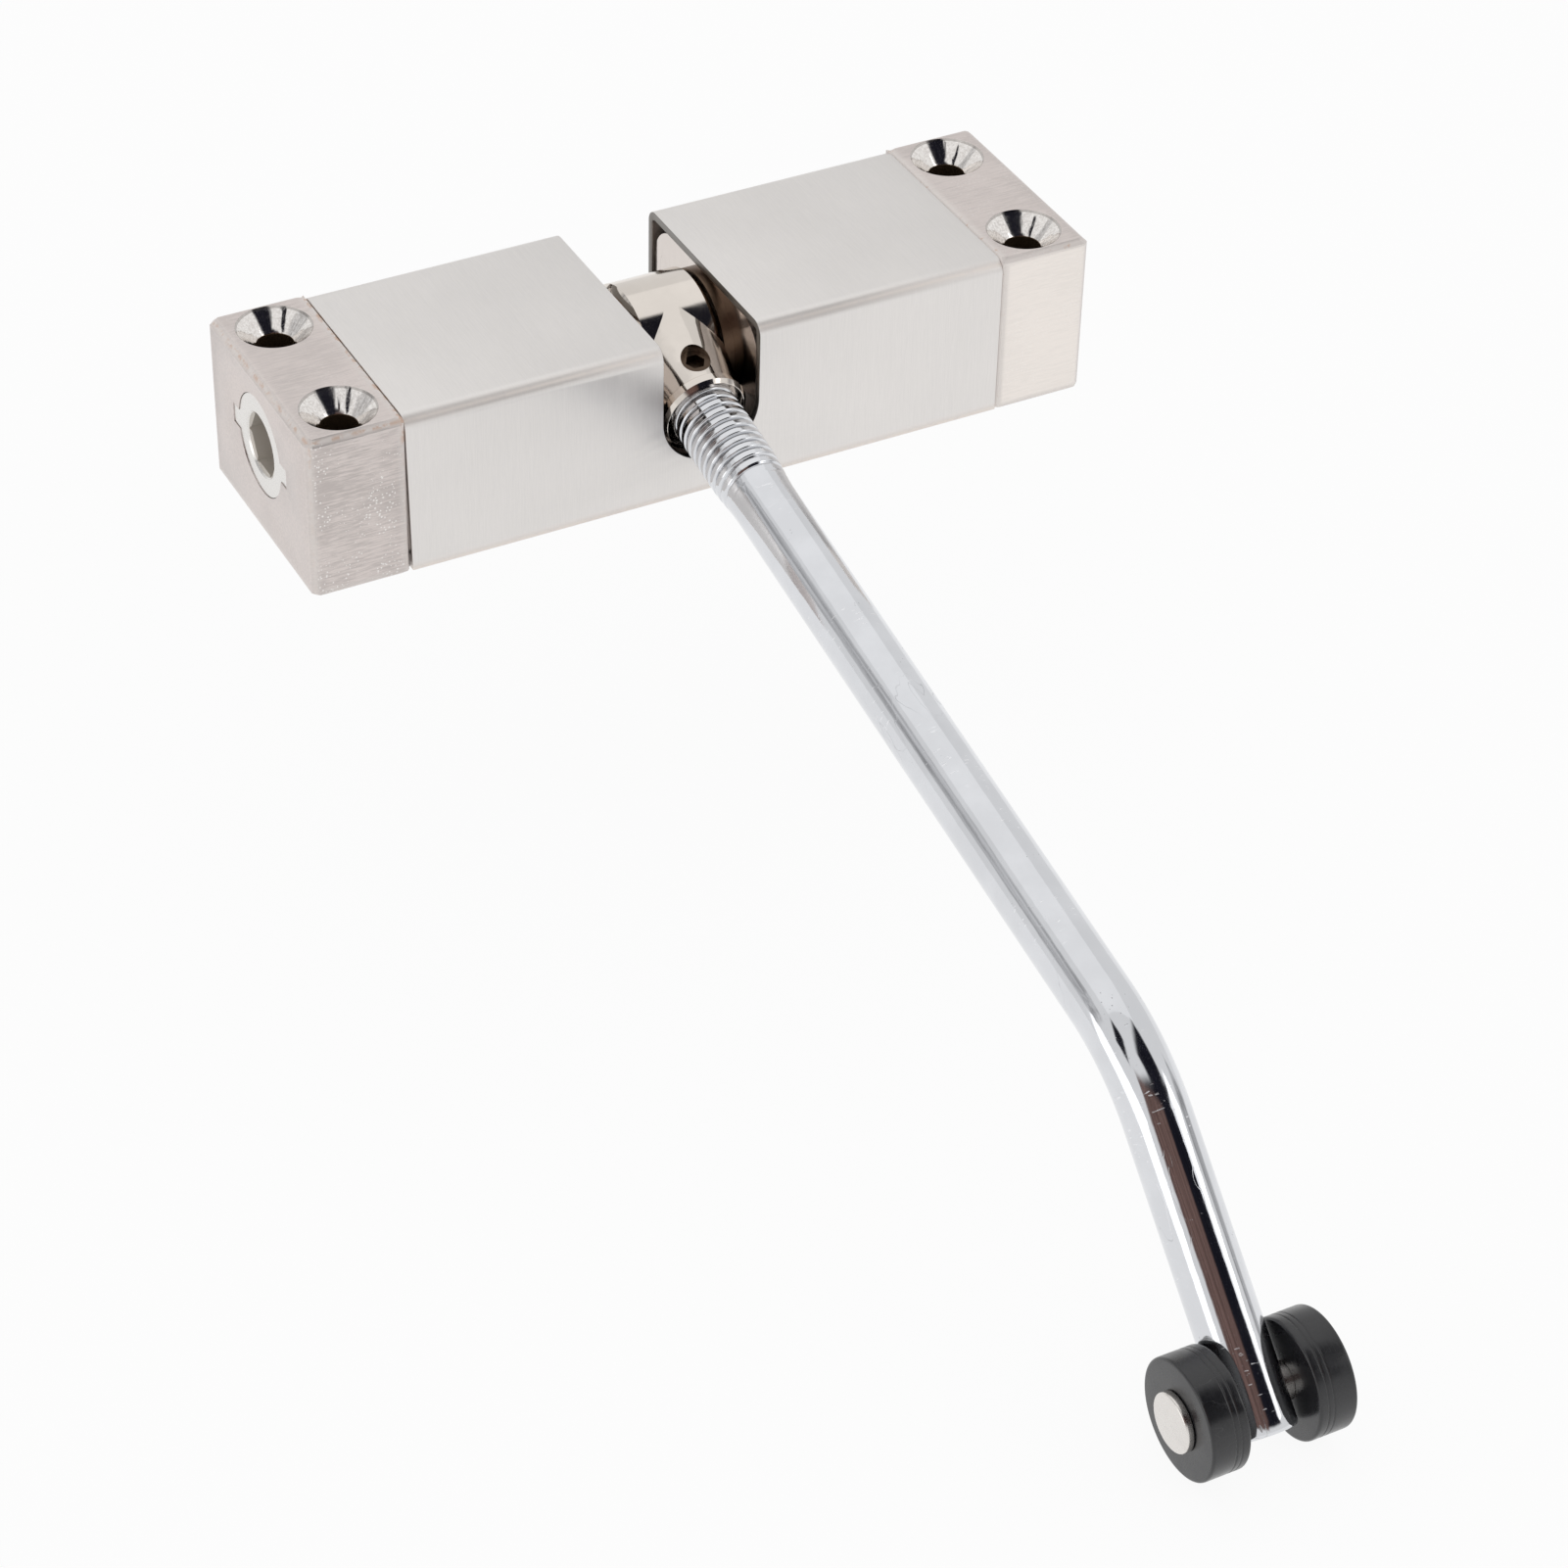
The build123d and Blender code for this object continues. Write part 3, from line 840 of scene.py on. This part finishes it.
def nylon_finish(colours):
    """Moulded nylon: a fine matt grain, faint turning rings and a few pale scuffs."""
    finish = Finish("Moulded nylon", 0.30, 0.0)
    finish.shader.inputs["Specular IOR Level"].default_value = 0.65
    tree, place = finish.tree, finish.place
    grain = noise(tree, place, 2600.0, 4, 0.6)
    patches = noise(tree, place, 190.0, 3, 0.6)
    wear = finish.wear(1200, 0.12, (90, 500, 500))
    shade = plus(tree, times(tree, grain, 0.5), times(tree, patches, 0.5))
    base = finish.mottled(spread(tree, shade, 0.35, 0.65), colours.roller_nylon, 0.8, 1.35)
    marks = either(tree, wear["Pits"], wear["Scratches"])
    finish.colour(blend_colours(tree, times(tree, marks, 0.25), base, (0.10, 0.10, 0.105, 1)))
    finish.roughness(spread(tree, patches, 0.3, 0.7, 0.20, 0.34))
    rings = stretched_noise(tree, place, (5200, 120, 120), 3, 0.6)
    finish.bump(plus(tree, times(tree, rings, 0.6), times(tree, grain, 0.4)), 0.03 * MM, 0.5)
    return finish.material


def dress(node, finish):
    """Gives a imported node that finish."""
    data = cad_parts[node].data
    data.materials.clear()
    data.materials.append(finish)


# Pieces, with one operator for each piece or group of like pieces


class CLOSER_OT_cover(bpy.types.Operator):
    """Dresses the sheet cover and breaks its cut edges"""

    bl_idname = "closer.cover"
    bl_label = "Sheet cover"

    def execute(self, context):
        finish = cover_finish(context.scene.closer_finishes)
        piece = edged_copy("cover", "sheet_cover", 0.12 * MM, finish, leaning_end)
        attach(piece, "closer_body")
        return {"FINISHED"}


class CLOSER_OT_end_blocks(bpy.types.Operator):
    """Dresses both end blocks"""

    bl_idname = "closer.end_blocks"
    bl_label = "End blocks"

    def execute(self, context):
        width = context.scene.closer_sizes.edge_break
        for side, hand in ((-1, "left"), (1, "right")):
            finish = block_finish(context.scene.closer_finishes, side)
            piece = edged_copy("end_block_" + hand, "nickel_block_" + hand, width, finish, tight_shoulder)
            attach(piece, "closer_body")
        return {"FINISHED"}


class CLOSER_OT_adjusters(bpy.types.Operator):
    """Dresses both tension adjusters"""

    bl_idname = "closer.adjusters"
    bl_label = "Tension adjusters"

    def execute(self, context):
        zinc = adjuster_finish(context.scene.closer_finishes)
        for hand in ("left", "right"):
            dress("tension_adjuster_" + hand, zinc)
        return {"FINISHED"}


class CLOSER_OT_inner_works(bpy.types.Operator):
    """Dresses the base plate, bearing plates, bushes, springs and screws"""

    bl_idname = "closer.inner_works"
    bl_label = "Inner works"

    def execute(self, context):
        colours = context.scene.closer_finishes
        plate = machined_finish("Oiled plate", colours.plate_steel, 0.30, (2600, 300, 300), 0.16)
        nickel = polished_finish("Bright plate", colours.plate_nickel, 0.12)
        bronze = machined_finish("Sintered bronze", colours.bush_bronze, 0.34, (2200, 2200, 2200), 0.14)
        wire = machined_finish("Spring wire", colours.spring_steel, 0.30, (700, 2600, 2600), 0.18)
        zinc = machined_finish("Screw zinc", colours.adjuster_zinc, 0.28, (1500, 1500, 1500), 0.06)
        dress("base_plate", plate)
        for hand in ("left", "right"):
            dress("bearing_plate_" + hand, nickel)
            dress("bush_" + hand, bronze)
            dress("torsion_spring_" + hand, wire)
        for node in ("block_screws", "plate_screws"):
            dress(node, zinc)
        return {"FINISHED"}


class CLOSER_OT_hub(bpy.types.Operator):
    """Dresses the polished hub and its grub screw"""

    bl_idname = "closer.hub"
    bl_label = "Hub"

    def execute(self, context):
        dress("arm_hub", polished_finish("Polished hub", context.scene.closer_finishes.hub_nickel, 0.07))
        dress("grub_screw", machined_finish("Blackened screw", (0.10, 0.07, 0.05), 0.35))
        return {"FINISHED"}


class CLOSER_OT_rod(bpy.types.Operator):
    """Makes the bent chrome arm with its rolled thread"""

    bl_idname = "closer.rod"
    bl_label = "Arm rod"

    def execute(self, context):
        colour = context.scene.closer_finishes.arm_chrome
        chrome = polished_finish("Arm chrome", colour, 0.05, "run", 0.03 * MM, (330, 330, 90))
        points, run = rod_surface(context.scene.closer_sizes)
        piece = make_piece("chrome_rod", points, grid_faces(*points.shape[:2]), chrome, run)
        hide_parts("arm_rod")
        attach(piece, "arm")
        return {"FINISHED"}


def rod_surface(sizes):
    """Points of the bent arm and, for its finish, their place on the straightened arm.

    The centre line runs straight from the hub, turns through the bend on a circle and runs
    straight to the rollers. At distance s along it and angle a round it a point stands at
    the centre line + r(s, a) * (cos a * X + sin a * the arm's upward side).
    In the thread r is the crest radius less the thread depth times a rolled groove, which is
    (1 - a cosine of the helix phase) / 2 raised to a power, and the phase is s / pitch - a / turn.
    Past the thread r falls to the rod's radius, and at both ends it closes to the centre line.
    """
    columns, start, start_radius = 96, 4.0 * MM, 3.9 * MM
    edge, first_cut, groove_power = 0.45 * MM, 0.13 * MM, 5
    fade_length, neck_length, neck_start = 2.4 * MM, 8.0 * MM, THREAD_END - 6.5 * MM
    cut = BEND_RADIUS * tan(BEND / 2)
    bend_start = UPPER_RUN - cut
    bend_end = bend_start + BEND_RADIUS * BEND
    end = bend_end + LOWER_RUN - cut
    stations = (start, THREAD_END + 1.6 * MM, bend_start, bend_end, end - 0.5 * MM)
    row_counts = (460, 60, 40, 30)
    stretches = zip(stations, stations[1:], row_counts)
    rows = np.concatenate([[start]] + [np.linspace(low, high, count)[1:] for low, high, count in stretches])
    angle = np.linspace(0, 2 * np.pi, columns, endpoint=False)
    s, a = rows[:, None], angle[None, :]
    phase = s / sizes.thread_pitch - a / (2 * np.pi)
    groove = (0.5 - 0.5 * np.cos(2 * np.pi * phase)) ** groove_power
    fade = eased((THREAD_END - s) / fade_length)
    neck = eased((s - neck_start) / neck_length)
    r = (CREST_RADIUS - sizes.thread_depth * groove * fade) * (1 - neck) + ROD_RADIUS * neck
    face = ROD_RADIUS - edge
    tip = np.array([ROD_RADIUS - first_cut, face, 0.6 * face, 0.0])
    rows = np.concatenate([[start, start], rows, [end - first_cut, end, end, end]])
    ring = np.ones((1, columns))
    r = np.concatenate([0 * ring, start_radius * ring, r, tip[:, None] * ring])
    heading = DROOP + np.clip((rows - bend_start) / BEND_RADIUS, 0, BEND)
    before = np.clip(rows, None, bend_start)
    after = np.clip(rows - bend_end, 0, None)
    y = -before * cos(DROOP) - BEND_RADIUS * (np.sin(heading) - sin(DROOP)) - after * cos(DROOP + BEND)
    z = -before * sin(DROOP) + BEND_RADIUS * (np.cos(heading) - cos(DROOP)) - after * sin(DROOP + BEND)
    side, up = r * np.cos(a), r * np.sin(a)
    points = np.empty((len(rows), columns, 3))
    points[..., 0] = side
    points[..., 1] = HUB_CENTRE.y + y[:, None] - up * np.sin(heading)[:, None]
    points[..., 2] = HUB_CENTRE.z + z[:, None] + up * np.cos(heading)[:, None]
    run = np.stack(np.broadcast_arrays(side, up, rows[:, None]), axis=-1)
    return points, run


def axle_centre():
    """The point where the roller axle crosses the arm's plane."""
    corner = HUB_CENTRE + Vector((0, -cos(DROOP), -sin(DROOP))) * UPPER_RUN
    return corner + Vector((0, -cos(DROOP + BEND), -sin(DROOP + BEND))) * AXLE_RUN


class CLOSER_OT_rollers(bpy.types.Operator):
    """Makes the two nylon rollers"""

    bl_idname = "closer.rollers"
    bl_label = "Rollers"

    def execute(self, context):
        sizes = context.scene.closer_sizes
        nylon = nylon_finish(context.scene.closer_finishes)
        edge = sizes.roller_edge
        inner, outer, bore, rim = 4.95 * MM, 10.45 * MM, 2.55 * MM, 8.1 * MM
        tread_rings, ring, low = (1.3 * MM, 2.1 * MM), 0.16 * MM, rim - 0.09 * MM
        corners = [(inner, bore), (inner, rim)]
        for along in (inner + step for step in tread_rings):
            corners += [(along - ring, rim), (along, low), (along + ring, rim)]
        corners += [(outer, rim), (outer, bore)]
        reach = [0.1 * MM, edge] + [0.06 * MM] * 3 * len(tread_rings) + [edge, 0.15 * MM]
        outline = softened(corners, reach, 7)
        for side, hand in ((-1, "left"), (1, "right")):
            piece = turned("nylon_roller_" + hand, outline, axle_centre(), side, sizes.turning_steps, nylon)
            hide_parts("roller_" + hand)
            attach(piece, hand + "_roller")
        return {"FINISHED"}


class CLOSER_OT_axle(bpy.types.Operator):
    """Makes the riveted axle"""

    bl_idname = "closer.axle"
    bl_label = "Riveted axle"

    def execute(self, context):
        sizes = context.scene.closer_sizes
        colour = context.scene.closer_finishes.rivet_nickel
        satin = machined_finish("Satin nickel", colour, 0.26, (900, 900, 900), 0.05)
        head, tip, shaft, rim = 10.55 * MM, 11.65 * MM, 2.5 * MM, 4.0 * MM
        half = [(head, shaft), (head, rim), (tip, rim), (tip, 0.0)]
        corners = half + [(-along, out) for along, out in half[::-1]]
        reach = [0.05 * MM, 0.15 * MM, sizes.rivet_edge, 0.0]
        outline = softened(corners, reach + reach[::-1], 6)
        piece = turned("riveted_axle", outline, axle_centre(), 1, sizes.turning_steps, satin)
        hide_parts("roller_axle")
        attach(piece, "arm")
        return {"FINISHED"}


# Studio


def towards(azimuth, elevation, distance=1.1):
    """A point seen from the closer at azimuth from +Y towards +X and at elevation over the wall plane."""
    turn, rise = radians(azimuth), radians(elevation)
    return Vector((sin(turn) * cos(rise), cos(turn) * cos(rise), sin(rise))) * distance


def flat_sheet(name, width, height, level=0.0):
    """A new mesh of one face that looks up, centred on the Z axis at that level."""
    x, y = width / 2, height / 2
    mesh = bpy.data.meshes.new(name)
    mesh.from_pydata([(-x, -y, level), (x, -y, level), (x, y, level), (-x, y, level)], [], [(0, 1, 2, 3)])
    return mesh


def add_glow(material, share, first, colour):
    """Mixes a shader's output with plain light of that colour, by share, as the material's surface."""
    tree = material.node_tree
    glow = add_node(tree, "ShaderNodeEmission", {"Color": colour, "Strength": 1.0}).outputs[0]
    mixed = add_node(tree, "ShaderNodeMixShader", {0: share, 1: first, 2: glow}).outputs[0]
    tree.links.new(mixed, tree.nodes["Material Output"].inputs["Surface"])


def studio_card(name, place, width, height, colour, soft=0.12):
    """A flat card with soft edges that faces the closer and is seen only in its reflections."""
    mesh = flat_sheet(name, width, height)
    material = bpy.data.materials.new(name)
    material.use_nodes = True
    tree = material.node_tree
    spot = add_node(tree, "ShaderNodeTexCoord").outputs["Object"]
    x, y, _ = split(tree, spot)
    figure = spread(tree, stretched_noise(tree, spot, (16, 5, 1), 4, 0.65), 0.34, 0.66)
    shade = blend_colours(tree, figure, (*Vector(colour) * 0.55, 1), (*Vector(colour) * 1.35, 1))
    across = minus(tree, width / 2, size_of(tree, x))
    upward = minus(tree, height / 2, size_of(tree, y))
    share = spread(tree, maths(tree, "MINIMUM", across, upward), 0.0, soft)
    add_glow(material, share, add_node(tree, "ShaderNodeBsdfTransparent").outputs[0], shade)
    mesh.materials.append(material)
    card = add_object(name, mesh)
    card.location = place
    card.rotation_euler = (-place).to_track_quat("Z", "Y").to_euler()
    for rays in ("camera", "diffuse", "shadow", "transmission"):
        setattr(card, "visible_" + rays, False)


def softbox(name, place, size, power):
    """A rectangular area light that faces the middle of the closer and its arm."""
    light = bpy.data.lights.new(name, "AREA")
    light.shape = "RECTANGLE"
    light.size, light.size_y = size
    light.energy = power
    lamp = add_object(name, light)
    lamp.location = place
    middle = Vector((0, -0.05, 0))
    lamp.rotation_euler = (middle - Vector(place)).to_track_quat("-Z", "Y").to_euler()


def ray_masks(tree):
    """Two masks: rays from the camera, and rays reflected or let through."""
    rays = add_node(tree, "ShaderNodeLightPath").outputs
    return rays["Is Camera Ray"], either(tree, rays["Is Glossy Ray"], rays["Is Transmission Ray"])


def make_world(scene, studio):
    """A white world with its own brightness in reflections and as light on the closer."""
    world = bpy.data.worlds.new("Studio")
    scene.world = world
    world.use_nodes = True
    tree = world.node_tree
    direct, mirrored = ray_masks(tree)
    change = times(tree, mirrored, studio.mirrored_room - studio.room_light)
    strength = either(tree, plus(tree, studio.room_light, change), direct)
    background = tree.nodes["Background"]
    background.inputs["Color"].default_value = (1, 1, 1, 1)
    tree.links.new(strength, background.inputs["Strength"])


def make_floor():
    """A pale floor just under the rollers, nearly white to the camera, that keeps the shadow."""
    mesh = flat_sheet("floor", 6.0, 6.0, -51.4 * MM)
    paper = bpy.data.materials.new("Pale paper")
    paper.use_nodes = True
    tree = paper.node_tree
    shader = tree.nodes["Principled BSDF"]
    shader.inputs["Base Color"].default_value = (0.92, 0.92, 0.92, 1)
    shader.inputs["Roughness"].default_value = 0.9
    share = times(tree, either(tree, *ray_masks(tree)), 0.92)
    add_glow(paper, share, shader.outputs[0], (1, 1, 1, 1))
    mesh.materials.append(paper)
    floor = add_object("floor", mesh)


def make_camera(scene, lens):
    """The camera at the photograph's viewing angle, from its own right and upward directions."""
    right, up = Vector((0.88603, -0.46312, 0.021675)), Vector((0.272825, 0.558621, 0.783269))
    place = Vector((-0.233727, -0.470347, 0.351617))
    camera = bpy.data.cameras.new("photo_camera")
    camera.sensor_width = 36
    camera.lens = lens
    camera.clip_start, camera.clip_end = 0.01, 20
    eye = add_object("photo_camera", camera)
    turn = Matrix((right, up, right.cross(up).normalized())).transposed()
    eye.matrix_world = Matrix.Translation(place) @ turn.to_4x4()
    scene.camera = eye


class CLOSER_OT_stage(bpy.types.Operator):
    """Makes the floor, lights, world and camera"""

    bl_idname = "closer.stage"
    bl_label = "Studio stage"

    def execute(self, context):
        scene, studio = context.scene, context.scene.closer_studio
        scene.view_settings.view_transform = "Standard"
        make_world(scene, studio)
        make_floor()
        softbox("top_softbox", (0.05, 0.32, 0.95), (1.2, 0.9), studio.top_light)
        softbox("right_softbox", towards(134, 29), (0.42, 0.34), studio.right_light)
        softbox("left_softbox", towards(-97, 9), (0.85, 0.42), studio.left_light)
        studio_card("dark_room", towards(-176, 38), 1.86, 0.78, studio.room_dark)
        studio_card("wooden_door", towards(-154, 33, 1.0), 0.88, 0.63, studio.door_brown)
        studio_card("doorway", towards(156, 58), 0.84, 0.66, studio.room_dark)
        studio_card("window_post", towards(-107, 51), 0.26, 0.40, studio.room_dark, 0.05)
        studio_card("left_wall", towards(-58, 30), 0.95, 0.60, studio.wall_grey)
        studio_card("right_wall", towards(108, 10), 0.50, 0.44, Vector(studio.wall_grey) * 0.75)
        make_camera(scene, studio.lens)
        return {"FINISHED"}


# Registration


class CLOSER_PT_panel(bpy.types.Panel):
    """Lists the door closer's operators"""

    bl_idname = "CLOSER_PT_panel"
    bl_label = "Door Closer"
    bl_space_type = "VIEW_3D"
    bl_region_type = "UI"
    bl_category = "Door Closer"

    def draw(self, context):
        for operator in OPERATORS:
            self.layout.operator(operator.bl_idname)


OPERATORS = (
    CLOSER_OT_stage,
    CLOSER_OT_cover,
    CLOSER_OT_end_blocks,
    CLOSER_OT_adjusters,
    CLOSER_OT_inner_works,
    CLOSER_OT_hub,
    CLOSER_OT_rod,
    CLOSER_OT_rollers,
    CLOSER_OT_axle,
)
GROUPS = (CloserSizes, CloserFinishes, CloserStudio)


def register():
    """Registers the classes and puts the settings on the scene."""
    for kind in (*GROUPS, *OPERATORS, CLOSER_PT_panel):
        bpy.utils.register_class(kind)
    bpy.types.Scene.closer_sizes = PointerProperty(type=CloserSizes)
    bpy.types.Scene.closer_finishes = PointerProperty(type=CloserFinishes)
    bpy.types.Scene.closer_studio = PointerProperty(type=CloserStudio)


def unregister():
    """Takes the settings and the classes away again."""
    del bpy.types.Scene.closer_studio
    del bpy.types.Scene.closer_finishes
    del bpy.types.Scene.closer_sizes
    for kind in reversed((*GROUPS, *OPERATORS, CLOSER_PT_panel)):
        bpy.utils.unregister_class(kind)


def main():
    """Builds every piece in order."""
    register()
    bpy.ops.closer.stage()
    bpy.ops.closer.cover()
    bpy.ops.closer.end_blocks()
    bpy.ops.closer.adjusters()
    bpy.ops.closer.inner_works()
    bpy.ops.closer.hub()
    bpy.ops.closer.rod()
    bpy.ops.closer.rollers()
    bpy.ops.closer.axle()


if __name__ == "__main__":
    main()
